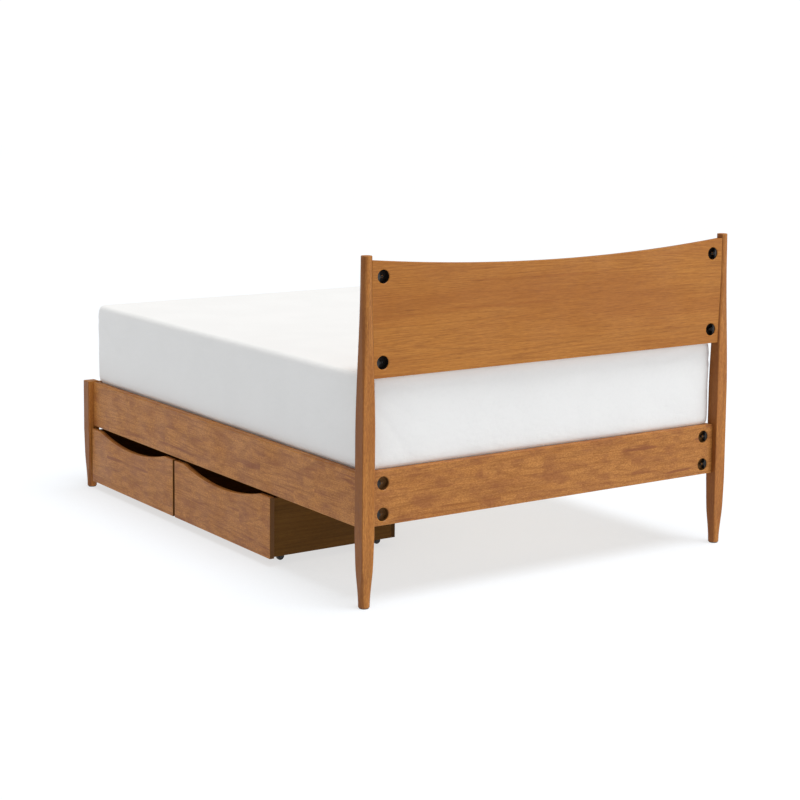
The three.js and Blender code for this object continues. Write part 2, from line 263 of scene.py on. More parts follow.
def bore(piece, cutters):
    """Cuts the cutters out of the piece."""
    cutter = merge("cutter", cutters)
    cut = piece.modifiers.new("bore", "BOOLEAN")
    cut.operation = "DIFFERENCE"
    cut.solver = "EXACT"
    cut.object = cutter
    settle(piece)
    bpy.data.objects.remove(cutter)
    return piece


# %% Boards, turned parts and lofts
def along(axis, u, v, w):
    """A point whose w runs along the axis, and u and v across it in X, Y, Z order."""
    return {"X": (w, u, v), "Y": (u, w, v), "Z": (u, v, w)}[axis]


def board(name, outline, axis, span):
    """An outline of (u, v) points drawn out along an axis."""
    count = len(outline)
    points = [along(axis, u, v, w) for w in span for u, v in outline]
    faces = [(k, (k + 1) % count, (k + 1) % count + count, k + count) for k in range(count)]
    faces += [tuple(range(count)), tuple(range(count, 2 * count))]
    return new_piece(name, points, faces)


def turned(name, profile, axis, centre, sides=48, closed=False):
    """A profile of (radius, distance along the axis) spun round it. A radius of 0 is a point on the axis."""
    points, rows = [], []
    for radius, distance in profile:
        row = []
        for k in range(sides if radius > 0 else 1):
            angle = 2 * math.pi * k / sides
            row.append(len(points))
            place = along(axis, radius * math.cos(angle), radius * math.sin(angle), distance)
            points.append(Vector(place) + Vector(centre))
        rows.append(row)
    faces = []
    pairs = list(zip(rows, rows[1:])) + ([(rows[-1], rows[0])] if closed else [])
    for low, high in pairs:
        for k in range(sides):
            ring = [low[k % len(low)], low[(k + 1) % len(low)], high[(k + 1) % len(high)], high[k % len(high)]]
            faces.append(tuple(dict.fromkeys(ring)))
    return new_piece(name, points, faces)


def rounded_rectangle(half_u, half_v, corner, steps=8):
    """The points of a rectangle with round corners, anticlockwise."""
    radius = min(corner, 0.985 * min(half_u, half_v))
    points = []
    for quarter in range(4):
        centre_u = (half_u - radius) * (1 if quarter in (0, 3) else -1)
        centre_v = (half_v - radius) * (1 if quarter < 2 else -1)
        for step in range(steps + 1):
            angle = (quarter + step / steps) * math.pi / 2
            points.append((centre_u + radius * math.cos(angle), centre_v + radius * math.sin(angle)))
    return points


def loft(name, sections, shift=(0, 0)):
    """A closed skin over level sections, each (z, points)."""
    around = len(sections[0][1])
    points = [(u + shift[0], v + shift[1], z) for z, ring in sections for u, v in ring]
    faces = []
    for level in range(len(sections) - 1):
        low = level * around
        for k in range(around):
            side = (k + 1) % around
            faces.append((low + k, low + side, low + side + around, low + k + around))
    faces.append(tuple(range(around)))
    faces.append(tuple(range((len(sections) - 1) * around, len(sections) * around)))
    return new_piece(name, points, faces)


def fit_out(piece, body, slot, material, *nodes):
    """Gives a finished piece its body, its finish and the frame nodes that it stands for."""
    piece.data.materials.clear()
    piece.data.materials.append(material)
    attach(piece, body)
    if nodes:
        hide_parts(*nodes)
    return piece


# %% [markdown]
# ## Node groups that several finishes share
# A wooden bed shows the same few effects on every board: streaks along the grain, the wavy lines of the growth
# rings, cloudy patches where stain took unevenly, pores, and a paler line on each edge, partly stain thinned by
# sanding and partly a painted highlight where the edge catches light. Each effect is a node group with named
# inputs, so that every wood below uses it with its own values.

# %% A small language for node trees
class Nodes:
    """Adds nodes to a tree in short lines. A value that is a socket is linked, and any other is set."""

    def __init__(self, tree):
        self.tree = tree

    def add(self, kind, values=None, **settings):
        node = self.tree.nodes.new(kind)
        for key, value in settings.items():
            setattr(node, key, value)
        for key, value in (values or {}).items():
            socket = node.inputs[key]
            if isinstance(value, bpy.types.NodeSocket):
                self.tree.links.new(value, socket)
            else:
                socket.default_value = value
        return node

    def math(self, operation, first, second=0.0, clamp=False):
        values = {0: first, 1: second}
        return self.add("ShaderNodeMath", values, operation=operation, use_clamp=clamp).outputs[0]

    def ramp(self, value, low, high, out_low=0.0, out_high=1.0):
        """A smooth step from one value to another."""
        values = {"Value": value, "From Min": low, "From Max": high, "To Min": out_low, "To Max": out_high}
        return self.add("ShaderNodeMapRange", values, interpolation_type="SMOOTHSTEP").outputs[0]

    def mix(self, share, first, second, blend="MIX"):
        node = self.add("ShaderNodeMix", data_type="RGBA", blend_type=blend)
        for socket, value in zip((node.inputs[0], node.inputs[6], node.inputs[7]), (share, first, second)):
            if isinstance(value, bpy.types.NodeSocket):
                self.tree.links.new(value, socket)
            else:
                socket.default_value = value
        return node.outputs[2]

    def stretch(self, vector, scale, offset=(0, 0, 0)):
        values = {"Vector": vector, "Scale": scale, "Location": offset}
        return self.add("ShaderNodeMapping", values).outputs[0]

    def noise(self, vector, scale=1.0, detail=2.0, roughness=0.5):
        values = {"Vector": vector, "Scale": scale, "Detail": detail, "Roughness": roughness}
        return self.add("ShaderNodeTexNoise", values).outputs["Fac"]


def group(name, inputs, outputs):
    """An empty node group. Each input is name: (socket type, value), and each output name: socket type."""
    tree = bpy.data.node_groups.new(name, "ShaderNodeTree")
    for label, (kind, value) in inputs.items():
        socket = tree.interface.new_socket(name=label, in_out="INPUT", socket_type=kind)
        if value is not None:
            socket.default_value = value
    for label, kind in outputs.items():
        tree.interface.new_socket(name=label, in_out="OUTPUT", socket_type=kind)
    make = Nodes(tree)
    return make, make.add("NodeGroupInput").outputs, make.add("NodeGroupOutput").inputs


FLOAT, COLOUR, VECTOR = "NodeSocketFloat", "NodeSocketColor", "NodeSocketVector"


# %% Grain of a board
def grain_group():
    """The marks in a board. The vector's X runs along the grain, in metres."""
    make, given, out = group(
        "board_grain",
        {"Vector": (VECTOR, None), "Streaks per metre": (FLOAT, 130.0), "Growth lines": (FLOAT, 9.0),
         "Blotch size": (FLOAT, 0.10), "Joined": (FLOAT, 0.0)},
        {"Streaks": FLOAT, "Growth": FLOAT, "Blotches": FLOAT, "Pores": FLOAT, "Staves": FLOAT,
         "Fleck": FLOAT, "Mineral": FLOAT})
    staves = make.add("ShaderNodeTexBrick", {
        "Vector": given["Vector"], "Color1": (0, 0, 0, 1), "Color2": (1, 1, 1, 1), "Scale": 1.0,
        "Mortar Size": 0.0, "Brick Width": 0.37, "Row Height": 0.062},
        offset=0.37, squash=1.35, squash_frequency=3).outputs["Color"]
    make.tree.links.new(staves, out["Staves"])

    wander = make.noise(make.stretch(given["Vector"], (2.2, 6, 6)), detail=2.0)
    drift = make.math("MULTIPLY", make.math("SUBTRACT", wander, 0.5), 0.03)
    jump = make.math("MULTIPLY", make.math("MULTIPLY", staves, given["Joined"]), 9.0)
    shift = make.add("ShaderNodeCombineXYZ", {"X": jump, "Y": make.math("ADD", drift, jump), "Z": drift})
    wavy = make.add("ShaderNodeVectorMath", {0: given["Vector"], 1: shift.outputs[0]},
                    operation="ADD").outputs[0]

    fine = make.stretch(wavy, (0.035, 1, 1))
    streaks = make.add("ShaderNodeTexNoise", {"Vector": fine, "Scale": given["Streaks per metre"],
                                              "Detail": 5.0, "Roughness": 0.66}).outputs["Fac"]
    make.tree.links.new(make.ramp(streaks, 0.36, 0.66), out["Streaks"])

    field = make.noise(make.stretch(wavy, (1.0, 7, 7)), detail=1.0, roughness=0.4)
    rings = make.math("MULTIPLY", make.math("MULTIPLY", field, given["Growth lines"]), 2 * math.pi)
    wave = make.math("ADD", make.math("MULTIPLY", make.math("SINE", rings), 0.5), 0.5)
    make.tree.links.new(make.math("POWER", wave, 2.2), out["Growth"])

    size = make.math("DIVIDE", 1.0, given["Blotch size"])
    cloud = make.add("ShaderNodeTexNoise", {"Vector": make.stretch(wavy, (0.45, 1, 1)), "Scale": size,
                                            "Detail": 5.0, "Roughness": 0.62}).outputs["Fac"]
    make.tree.links.new(make.ramp(cloud, 0.42, 0.68), out["Blotches"])

    dashes = make.noise(make.stretch(given["Vector"], (55, 900, 900)), detail=1.0)
    make.tree.links.new(make.ramp(dashes, 0.60, 0.74), out["Pores"])

    ripple = make.noise(make.stretch(wavy, (130, 320, 320)), detail=2.0, roughness=0.6)
    make.tree.links.new(make.ramp(ripple, 0.30, 0.70), out["Fleck"])

    seams = make.noise(make.stretch(wavy, (3.0, 34, 34)), detail=2.0, roughness=0.5)
    make.tree.links.new(make.ramp(seams, 0.64, 0.74), out["Mineral"])
    return make.tree


GRAIN = grain_group()


# %% Knots, stain and edges
def knot_group():
    """Small knots: a dark centre, and a softer dark halo round it."""
    make, given, out = group("small_knots", {"Vector": (VECTOR, None), "Number": (FLOAT, 3.0)},
                             {"Knot": FLOAT, "Halo": FLOAT})
    flat = make.stretch(given["Vector"], (0.55, 1, 0))
    cells = make.add("ShaderNodeTexVoronoi", {"Vector": flat, "Scale": given["Number"]},
                     voronoi_dimensions="3D")
    away = cells.outputs["Distance"]
    make.tree.links.new(make.ramp(away, 0.012, 0.034, 1.0, 0.0), out["Knot"])
    make.tree.links.new(make.ramp(away, 0.02, 0.13, 1.0, 0.0), out["Halo"])
    return make.tree


def stain_group():
    """Turns the marks in a board into the colour of stained wood."""
    colours = {"Light": (0.6, 0.3, 0.1, 1), "Middle": (0.5, 0.2, 0.07, 1), "Dark": (0.3, 0.1, 0.04, 1),
               "Patch": (0.3, 0.13, 0.07, 1)}
    amounts = {"Streaks": 0.5, "Growth": 0.5, "Blotches": 0.0, "Pores": 0.0, "Staves": 0.5, "Knot": 0.0,
               "Halo": 0.0, "Fleck": 0.5, "Mineral": 0.0, "Fleck strength": 0.3, "Mineral strength": 0.0,
               "Streak strength": 0.5, "Growth strength": 0.4, "Blotch strength": 0.5,
               "Pore strength": 0.4, "Stave strength": 0.2}
    make, given, out = group("stain", {**{k: (COLOUR, v) for k, v in colours.items()},
                                       **{k: (FLOAT, v) for k, v in amounts.items()}}, {"Color": COLOUR})
    board_tone = make.mix(make.math("MULTIPLY", given["Staves"], given["Stave strength"]),
                          given["Middle"], given["Light"])
    growth = make.math("MULTIPLY", given["Growth"], given["Growth strength"])
    lined = make.mix(growth, board_tone, given["Dark"])
    streak = make.math("MULTIPLY", given["Streaks"], given["Streak strength"])
    streaked = make.mix(streak, lined, given["Light"])
    patched = make.mix(make.math("MULTIPLY", given["Blotches"], given["Blotch strength"]),
                       streaked, given["Patch"])
    seamed = make.mix(make.math("MULTIPLY", given["Mineral"], given["Mineral strength"]),
                      patched, given["Patch"])
    flecked = make.mix(make.math("MULTIPLY", given["Fleck"], given["Fleck strength"]), seamed, given["Dark"])
    haloed = make.mix(make.math("MULTIPLY", given["Halo"], 0.35), flecked, given["Dark"])
    pored = make.mix(make.math("MULTIPLY", given["Pores"], given["Pore strength"]), haloed, given["Dark"])
    knotted = make.mix(make.math("MULTIPLY", given["Knot"], 0.8), pored, (0.035, 0.012, 0.006, 1))
    make.tree.links.new(knotted, out["Color"])
    return make.tree


def edge_group():
    """How near a point is to an edge of its piece, from 0 to 1."""
    make, given, out = group("edge_nearness", {"Reach": (FLOAT, 0.003)}, {"Edge": FLOAT})
    rounded = make.add("ShaderNodeBevel", {"Radius": given["Reach"]}, samples=4).outputs[0]
    plain = make.add("ShaderNodeNewGeometry").outputs["Normal"]
    facing = make.add("ShaderNodeVectorMath", {0: rounded, 1: plain}, operation="DOT_PRODUCT").outputs["Value"]
    make.tree.links.new(make.ramp(facing, 0.80, 0.98, 1.0, 0.0), out["Edge"])
    return make.tree


def handling_group():
    """Slow changes of gloss, as polish and hands leave them."""
    make, given, out = group("handling", {"Vector": (VECTOR, None), "Low": (FLOAT, 0.3), "High": (FLOAT, 0.5)},
                             {"Roughness": FLOAT})
    cloud = make.noise(given["Vector"], scale=6.0, detail=4.0, roughness=0.6)
    make.tree.links.new(make.ramp(cloud, 0.3, 0.7, given["Low"], given["High"]), out["Roughness"])
    return make.tree


def weave_group():
    """The threads of a plain weave, and where they cross."""
    make, given, out = group("plain_weave", {"Vector": (VECTOR, None), "Threads per metre": (FLOAT, 1500.0)},
                             {"Height": FLOAT, "Slub": FLOAT})
    turns = make.math("MULTIPLY", given["Threads per metre"], math.pi)
    axes = make.add("ShaderNodeSeparateXYZ", {0: given["Vector"]}).outputs
    waves = [make.math("ABSOLUTE", make.math("SINE", make.math("MULTIPLY", axis, turns))) for axis in axes]
    height = make.math("MULTIPLY", make.math("MAXIMUM", waves[0], waves[1]), waves[2])
    make.tree.links.new(height, out["Height"])
    make.tree.links.new(make.noise(make.stretch(given["Vector"], (90, 700, 90)), detail=2.0), out["Slub"])
    return make.tree


KNOTS, STAIN, EDGE = knot_group(), stain_group(), edge_group()
HANDLING, WEAVE = handling_group(), weave_group()
print("node groups", [tree.name for tree in bpy.data.node_groups])

# %% [markdown]
# ## Wood finishes
# All the wood is one honey-brown stain, but it doesn't look alike. The panel is sliced veneer with straight,
# even grain. The rails and drawer fronts are maple with cloudy figure and a few knots. The posts are solid
# wood with upright grain and open pores, and the drawers' hidden boards are darker. So one function makes
# them all, and each board differs because the marks are laid out in the bed's own space.

# %% Wood
def colour(red, green, blue):
    return (red, green, blue, 1.0)


def start_material(name, metallic=0.0):
    """A material with one Principled shader, and the object's own coordinates in metres."""
    material = bpy.data.materials.new(name)
    material.use_nodes = True
    make = Nodes(material.node_tree)
    shader = material.node_tree.nodes["Principled BSDF"]
    shader.inputs["Metallic"].default_value = metallic
    place = make.add("ShaderNodeTexCoord").outputs["Object"]
    return material, make, shader, place


def use(make, tree, values):
    node = make.add("ShaderNodeGroup", node_tree=tree)
    for key, value in values.items():
        if isinstance(value, bpy.types.NodeSocket):
            make.tree.links.new(value, node.inputs[key])
        else:
            node.inputs[key].default_value = value
    return node.outputs


def grain_vector(make, place, axis):
    """The coordinates in the order along, across, through, for grain that runs along an axis."""
    parts = make.add("ShaderNodeSeparateXYZ", {0: place}).outputs
    order = {"X": (0, 2, 1), "Y": (1, 2, 0), "Z": (2, 0, 1)}[axis]
    values = {key: parts[index] for key, index in zip("XYZ", order)}
    return make.add("ShaderNodeCombineXYZ", values).outputs[0]


GRAIN_MARKS = ("Streaks", "Growth", "Blotches", "Pores", "Staves", "Fleck", "Mineral")


def wood(name, axis, tones, marks, knots=0.0, gloss=(0.36, 0.52), edge=(0.60, 0.26, 0.05), painted_shade_and_end_grain=None,
         shine=0.18):
    """Stained wood. Tones are light, middle, dark and patch; marks are sizes and strengths."""
    material, make, shader, place = start_material(name)
    vector = make.stretch(grain_vector(make, place, axis), (marks["wild"], 1, 1))
    grain = use(make, GRAIN, {
        "Vector": vector, "Streaks per metre": marks["streaks"], "Joined": marks["joined"],
        "Growth lines": marks["growth"], "Blotch size": marks["blotch"]})
    values = {key: colour(*tone) for key, tone in zip(("Light", "Middle", "Dark", "Patch"), tones)}
    values |= {key: grain[key] for key in GRAIN_MARKS}
    strengths = ("Streak", "Growth", "Blotch", "Pore", "Stave", "Fleck", "Mineral")
    values |= {f"{key} strength": value for key, value in zip(strengths, marks["strengths"])}
    if knots:
        knot = use(make, KNOTS, {"Vector": vector, "Number": knots})
        values |= {"Knot": knot["Knot"], "Halo": knot["Halo"]}
    wood_colour = use(make, STAIN, values)["Color"]
    # Painted shade and end grain: the faces along one axis get a darker colour.
    if painted_shade_and_end_grain:
        wood_colour = darker_faces(make, wood_colour, *painted_shade_and_end_grain)
    # Paler edges: partly stain thinned by wear, and partly a painted highlight where an eased edge catches
    # light.
    edge_share = make.math("MULTIPLY", use(make, EDGE, {"Reach": 0.003})["Edge"], 0.55)
    finished = make.mix(edge_share, wood_colour, colour(*edge))
    make.tree.links.new(finished, shader.inputs["Base Color"])
    polish = use(make, HANDLING, {"Vector": place, "Low": gloss[0], "High": gloss[1]})
    make.tree.links.new(polish["Roughness"], shader.inputs["Roughness"])
    depth = make.math("SUBTRACT", grain["Streaks"], make.math("MULTIPLY", grain["Pores"], 0.8))
    bump = make.add("ShaderNodeBump", {"Strength": 0.10, "Distance": 0.0006, "Height": depth})
    make.tree.links.new(bump.outputs[0], shader.inputs["Normal"])
    shader.inputs["Specular IOR Level"].default_value = shine
    shader.inputs["Coat Weight"].default_value = 0.03
    shader.inputs["Coat Roughness"].default_value = 0.28
    return material


def darker_faces(make, wood_colour, axis, share, dark):
    """Darkens the faces that face along an axis. On the posts this is painted shade: the two sides that face
    along X are darkened as if they stood in shade. On the drawer boxes it is end grain, which drinks the stain,
    and on the side rails and drawer fronts it is end grain deepened with painted shade.
    """
    normal = make.add("ShaderNodeNewGeometry").outputs["Normal"]
    across = make.math("ABSOLUTE", make.add("ShaderNodeSeparateXYZ", {0: normal}).outputs[axis])
    mask = make.math("MULTIPLY", make.ramp(across, 0.35, 0.80), share)
    return make.mix(mask, wood_colour, colour(*dark))


def marks(streaks, growth, blotch, joined, wild, *strengths):
    """Strengths are for streaks, growth, blotches, pores, staves, flecks and mineral seams."""
    return {"streaks": streaks, "growth": growth, "blotch": blotch, "joined": joined, "wild": wild,
            "strengths": strengths}


RAIL_TONES = ((0.65, 0.290, 0.075), (0.470, 0.180, 0.038), (0.20, 0.058, 0.011), (0.27, 0.085, 0.032))
RAIL_MARKS = marks(230.0, 16.0, 0.045, 1.0, 1.0, 0.65, 0.42, 0.55, 0.50, 0.50, 0.50, 0.80)
PANEL_TONES = ((0.58, 0.245, 0.045), (0.465, 0.172, 0.027), (0.20, 0.058, 0.008), (0.38, 0.122, 0.018))
PANEL_MARKS = marks(400.0, 36.0, 0.22, 0.0, 0.30, 0.70, 0.34, 0.60, 0.70, 0.0, 0.26, 0.70)
POST_TONES = ((0.64, 0.285, 0.066), (0.51, 0.192, 0.040), (0.16, 0.046, 0.010), (0.37, 0.120, 0.024))
POST_MARKS = marks(330.0, 14.0, 0.10, 0.0, 0.6, 0.60, 0.35, 0.45, 0.65, 0.0, 0.40, 0.30)
BOX_TONES = ((0.165, 0.076, 0.014), (0.108, 0.046, 0.0070), (0.055, 0.022, 0.003), (0.082, 0.034, 0.005))
BOX_MARKS = marks(150.0, 9.0, 0.15, 0.0, 0.6, 0.50, 0.40, 0.40, 0.40, 0.0, 0.25, 0.20)
PINE_TONES = ((0.80, 0.60, 0.34), (0.70, 0.48, 0.24), (0.50, 0.29, 0.11), (0.66, 0.42, 0.19))
PINE_MARKS = marks(90.0, 11.0, 0.20, 0.0, 0.7, 0.40, 0.50, 0.30, 0.20, 0.0, 0.10, 0.10)
# Pocket walls: the rail's are darker end grain with painted shade on top, and the panel's are near black, all
# painted shade.
BORED_TONES = ((0.21, 0.098, 0.026), (0.15, 0.066, 0.015), (0.08, 0.032, 0.008), (0.12, 0.050, 0.012))
PANEL_POCKET_SHADE_TONES = ((0.016, 0.009, 0.006), (0.010, 0.006, 0.004), (0.006, 0.004, 0.003), (0.010, 0.006, 0.004))

# End faces of the side rails and drawer fronts: end grain takes the stain darker, and painted shade deepens it,
# as the fronts' ends stand in shade.
END_GRAIN_AND_SHADE_TONE = (0.095, 0.038, 0.006)

rail_wood_x = wood("maple_stain_across", "X", RAIL_TONES, RAIL_MARKS, knots=3.1)
rail_wood_y = wood("maple_stain_along", "Y", RAIL_TONES, RAIL_MARKS, knots=2.3, painted_shade_and_end_grain=(1, 0.95, END_GRAIN_AND_SHADE_TONE))
panel_wood = wood("panel_veneer_stain", "X", PANEL_TONES, PANEL_MARKS)
# Painted shade: the posts' sides that face along X are darkened, as if in shade.
post_wood = wood("post_stain", "Z", POST_TONES, POST_MARKS, painted_shade_and_end_grain=(0, 0.62, POST_TONES[2]))
# The boxes' and the pine's paler edge colours are painted highlight lines as well as wear.
BOX_EDGE = (0.40, 0.21, 0.070)
box_wood_x = wood("drawer_box_across", "X", BOX_TONES, BOX_MARKS, gloss=(0.5, 0.65), edge=BOX_EDGE, shine=0.06)
box_wood_y = wood("drawer_box_along", "Y", BOX_TONES, BOX_MARKS, gloss=(0.5, 0.65), edge=BOX_EDGE,
                  painted_shade_and_end_grain=(1, 0.6, (0.030, 0.012, 0.002)), shine=0.06)
PINE_EDGE = (0.85, 0.70, 0.48)
pine_x = wood("pine_across", "X", PINE_TONES, PINE_MARKS, knots=3.0, gloss=(0.6, 0.75), edge=PINE_EDGE)
pine_y = wood("pine_along", "Y", PINE_TONES, PINE_MARKS, knots=3.0, gloss=(0.6, 0.75), edge=PINE_EDGE)
pine_z = wood("pine_upright", "Z", PINE_TONES, PINE_MARKS, gloss=(0.6, 0.75), edge=PINE_EDGE)
# Painted shade inside the bolt pockets, over the rail's darker end grain.
bored_rail = wood("bored_rail_pocket", "X", BORED_TONES, BOX_MARKS, gloss=(0.6, 0.8), edge=BORED_TONES[0])
panel_pocket_shade = wood("panel_pocket_painted_shade", "X", PANEL_POCKET_SHADE_TONES, BOX_MARKS, gloss=(0.7, 0.9), edge=PANEL_POCKET_SHADE_TONES[0])
print("woods", [m.name for m in bpy.data.materials if "stain" in m.name])

# %% [markdown]
# ## Metal, plastic and cloth finishes
# The bolts and brackets are steel with a black oxide skin that wears to bare grey on its edges. The casters
# and glides are moulded plastic with a faint pebble. The sheet is white cotton: it has almost no gloss, and a
# soft sheen where the threads' ends catch light at a slant.

# %% Metal and plastic
def black_steel():
    material, make, shader, place = start_material("black_oxide_steel", metallic=0.45)
    edge_share = use(make, EDGE, {"Reach": 0.0006})["Edge"]
    blotch = make.ramp(make.noise(place, scale=90.0, detail=5.0, roughness=0.65), 0.35, 0.7)
    skin = make.mix(blotch, colour(0.014, 0.014, 0.016), colour(0.036, 0.035, 0.034))
    make.tree.links.new(make.mix(make.math("MULTIPLY", edge_share, 0.30), skin, colour(0.16, 0.155, 0.15)),
                        shader.inputs["Base Color"])
    polish = use(make, HANDLING, {"Vector": place, "Low": 0.26, "High": 0.42})
    make.tree.links.new(polish["Roughness"], shader.inputs["Roughness"])
    shader.inputs["Specular IOR Level"].default_value = 0.35
    return material


def moulded(name, dark, light, low, high):
    material, make, shader, place = start_material(name)
    pebble = make.noise(place, scale=1400.0, detail=3.0)
    cloud = make.ramp(make.noise(place, scale=40.0, detail=3.0), 0.35, 0.7)
    edge_share = make.math("MULTIPLY", use(make, EDGE, {"Reach": 0.001})["Edge"], 0.5)
    base = make.mix(cloud, colour(*dark), colour(*light))
    paler = colour(*[3 * part for part in light])
    make.tree.links.new(make.mix(edge_share, base, paler), shader.inputs["Base Color"])
    polish = use(make, HANDLING, {"Vector": place, "Low": low, "High": high})
    make.tree.links.new(polish["Roughness"], shader.inputs["Roughness"])
    bump = make.add("ShaderNodeBump", {"Strength": 0.15, "Distance": 0.0002, "Height": pebble})
    make.tree.links.new(bump.outputs[0], shader.inputs["Normal"])
    return material


steel = black_steel()
caster_plastic = moulded("caster_plastic", (0.010, 0.010, 0.011), (0.022, 0.022, 0.023), 0.38, 0.55)
glide_plastic = moulded("glide_plastic", (0.030, 0.024, 0.020), (0.055, 0.045, 0.038), 0.55, 0.7)


# %% Cloth
def woven(name, light, dark, threads, depth, sheen, crumple=0.0):
    material, make, shader, place = start_material(name)
    weave = use(make, WEAVE, {"Vector": place, "Threads per metre": threads})
    cloud = make.ramp(make.noise(place, scale=5.0, detail=3.0, roughness=0.5), 0.3, 0.7, 0.0, 0.6)
    slubs = make.ramp(weave["Slub"], 0.45, 0.75, 0.0, 0.4)
    tone = make.mix(make.math("ADD", cloud, slubs, clamp=True), colour(*light), colour(*dark))
    make.tree.links.new(tone, shader.inputs["Base Color"])
    rough = make.ramp(weave["Slub"], 0.3, 0.8, 0.80, 0.95)
    make.tree.links.new(rough, shader.inputs["Roughness"])
    creases = make.noise(make.stretch(place, (9, 9, 14)), detail=5.0, roughness=0.62)
    folds = make.add("ShaderNodeBump", {"Strength": 0.6, "Distance": crumple, "Height": creases})
    values = {"Strength": 0.25, "Distance": depth, "Height": weave["Height"], "Normal": folds.outputs[0]}
    make.tree.links.new(make.add("ShaderNodeBump", values).outputs[0], shader.inputs["Normal"])
    shader.inputs["Sheen Weight"].default_value = sheen
    shader.inputs["Sheen Roughness"].default_value = 0.5
    shader.inputs["Specular IOR Level"].default_value = 0.2
    return material


cotton = woven("white_percale", (0.880, 0.876, 0.866), (0.850, 0.846, 0.837), 1500.0, 0.00015, 0.10, 0.006)
ticking = woven("mattress_ticking", (0.80, 0.79, 0.76), (0.72, 0.71, 0.68), 420.0, 0.0006, 0.10)
webbing = woven("slat_webbing", (0.62, 0.58, 0.50), (0.50, 0.46, 0.39), 700.0, 0.0004, 0.05)
print("materials", len(bpy.data.materials))

# %% [markdown]
# ## Posts
# Each post is a 50 mm square bar. Towards the floor, and towards the top of the head posts, it thins while
# its corners round off, until the end is a full circle. A maker shapes that by hand or with a cutter on a
# slope, so the section is a formula of height, and a loft over many levels follows it.

# %% Posts and glides
POST_HALF, POST_CORNER = 25 * MM, 4 * MM
FOOT_HALF, TIP_HALF = 19.4 * MM, 19 * MM
TAPER_TOP, TAPER_BOTTOM = 250 * MM, 600 * MM  # the square stretch lies between them
HEAD_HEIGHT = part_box("head_post_left")[1].z


def smoothstep(value, low, high):
    share = min(1.0, max(0.0, (value - low) / (high - low)))
    return share * share * (3 - 2 * share)


def post_section(z, inset=0.0):
    down = max(0.0, (TAPER_TOP - z) / TAPER_TOP)
    up = max(0.0, (z - TAPER_BOTTOM) / (HEAD_HEIGHT - TAPER_BOTTOM))
    half = POST_HALF - (POST_HALF - FOOT_HALF) * down - (POST_HALF - TIP_HALF) * up
    roundness = smoothstep(down, 0.4, 0.95) + smoothstep(up, 0.05, 0.85)
    corner = POST_CORNER + (half - POST_CORNER) * roundness
    return rounded_rectangle(half - inset, half - inset, corner - inset, steps=9)


def post_levels(bottom, top):
    """Heights for the sections, with a small round at each end as (height, inset)."""
    edge = 2.2 * MM
    ends = [(edge * (1 - math.cos(a)), edge * (1 - math.sin(a))) for a in np.linspace(0, math.pi / 2, 5)]
    steps = [bottom + edge + (top - bottom - 2 * edge) * k / 48 for k in range(1, 48)]
    return ([(bottom + rise, inset) for rise, inset in ends] + [(z, 0) for z in steps]
            + [(top - rise, inset) for rise, inset in reversed(ends)])


def add_posts():
    for node in [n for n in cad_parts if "_post_" in n]:
        low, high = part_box(node)
        centre = (low + high) / 2
        sections = [(z, post_section(z, inset)) for z, inset in post_levels(low.z, high.z)]
        post = smooth(loft(f"shaped_{node}", sections, (centre.x, centre.y)))
        fit_out(post, "root", "stained_wood", post_wood, node)


def add_glides():
    for node in [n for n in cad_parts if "_glide_" in n]:
        low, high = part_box(node)
        radius, height = (high.x - low.x) / 2, high.z - low.z
        chamfer = 0.8 * MM
        profile = [(0, low.z), (radius - chamfer, low.z), (radius, low.z + chamfer), (radius, high.z),
                   (radius * 0.5, high.z), (0, high.z)]
        glide = smooth(turned(f"turned_{node}", profile, "Z", ((low.x + high.x) / 2, (low.y + high.y) / 2, 0)))
        fit_out(glide, "root", "dark_glide", glide_plastic, node)
    print("glides", round(height / MM, 1), "mm thick")


add_posts()
add_glides()

# %% [markdown]
# ## Headboard panel and head rail
# Both boards are held to the posts by cross bolts. The bolt's nut sits in a round pocket bored in the back,
# wide enough for a spanner. The boards are outlines drawn out to their thickness, their edges are eased, and
# then the pockets are cut, with a small chamfer round each mouth that shows as a paler ring.

# %% Pockets
POCKET_RADIUS, POCKET_DEPTH, POCKET_CHAMFER = 23 * MM, 18 * MM, 2.6 * MM
BOLT_INSET, BOLT_HOLE = 11 * MM, 4.7 * MM
PANEL_POCKETS = (741 * MM, (826 * MM, 1112 * MM))
RAIL_POCKETS = (728.5 * MM, (310.5 * MM, 416.7 * MM))


def pocket_cutters(x, heights, back):
    """The pockets at both ends of a board whose back face is at that Y, and the bolt holes out of them."""
    over = 2 * MM
    mouth = POCKET_RADIUS + POCKET_CHAMFER
    profile = [(0, back - POCKET_DEPTH), (POCKET_RADIUS, back - POCKET_DEPTH),
               (POCKET_RADIUS, back - POCKET_CHAMFER), (mouth + over, back + over), (0, back + over)]
    cutters = []
    for side in HANDS.values():
        for z in heights:
            cutters.append(turned("pocket", profile, "Y", (side * x, 0, z), sides=72))
            hole = [(0, 0), (BOLT_HOLE, 0), (BOLT_HOLE, side * 80 * MM), (0, side * 80 * MM)]
            cutters.append(turned("hole", hole, "X", (side * x, back - BOLT_INSET, z), sides=24))
    return cutters


def darken_pockets(piece, bored, x, heights, back):
    """The bored faces get a darker finish, but the chamfers stay pale. In the rail it is the pocket's end grain
    with painted shade on top; in the panel it is near black, a painted shade for the dark inside of the pocket.
    """
    piece.data.materials.append(bored)
    for face in piece.data.polygons:
        place = face.center
        away = min(math.hypot(abs(place.x) - x, place.z - z) for z in heights)
        if away < POCKET_RADIUS + 0.5 * MM and place.y < back - 0.8 * POCKET_CHAMFER:
            face.material_index = 1


# %% Panel and rails
def sunk_arc(half, sag, edge, steps):
    """The arc that sinks by sag in the middle of a straight edge, from -half to half."""
    radius = (half * half + sag * sag) / (2 * sag)
    reach = math.asin(half / radius)
    angles = [reach * (2 * step / steps - 1) for step in range(steps + 1)]
    return [(radius * math.sin(a), edge - sag + radius * (1 - math.cos(a))) for a in angles]


